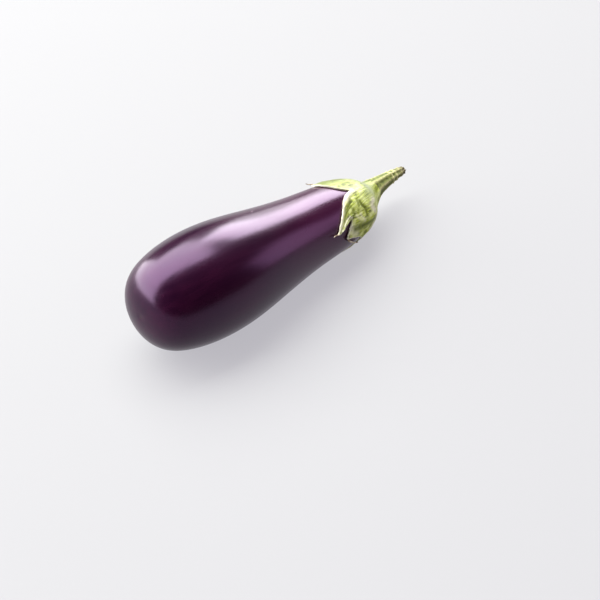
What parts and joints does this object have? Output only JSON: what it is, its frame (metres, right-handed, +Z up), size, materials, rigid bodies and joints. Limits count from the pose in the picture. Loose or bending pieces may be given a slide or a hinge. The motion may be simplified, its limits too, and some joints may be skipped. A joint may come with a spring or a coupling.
{
  "type": "eggplant",
  "caption": "Whole ripe eggplant lying on its side: a glossy club-shaped purple fruit with a lobed green calyx over its shoulder and a short cut stem.",
  "frame": {"origin": "middle of the flat spot on the underside of the belly that the fruit rests on", "axes": "+X from the blossom end towards the stem, +Z up, away from the surface it lies on; the fruit's own axis dips 5.8 degrees towards the stem"},
  "size_m": [0.2619, 0.0774, 0.0778],
  "materials": {
    "skin": "smooth waxy dark purple skin, glossy",
    "sepals": "satin yellow-green plant tissue with olive patches and pale cream edges",
    "stalk": "dull olive-green stalk with pale lengthwise ridges and a brown cut tip"
  },
  "bodies": {
    "root": {"fruit": "skin", "calyx": "sepals", "stem": "stalk"}
  },
  "joints": []
}
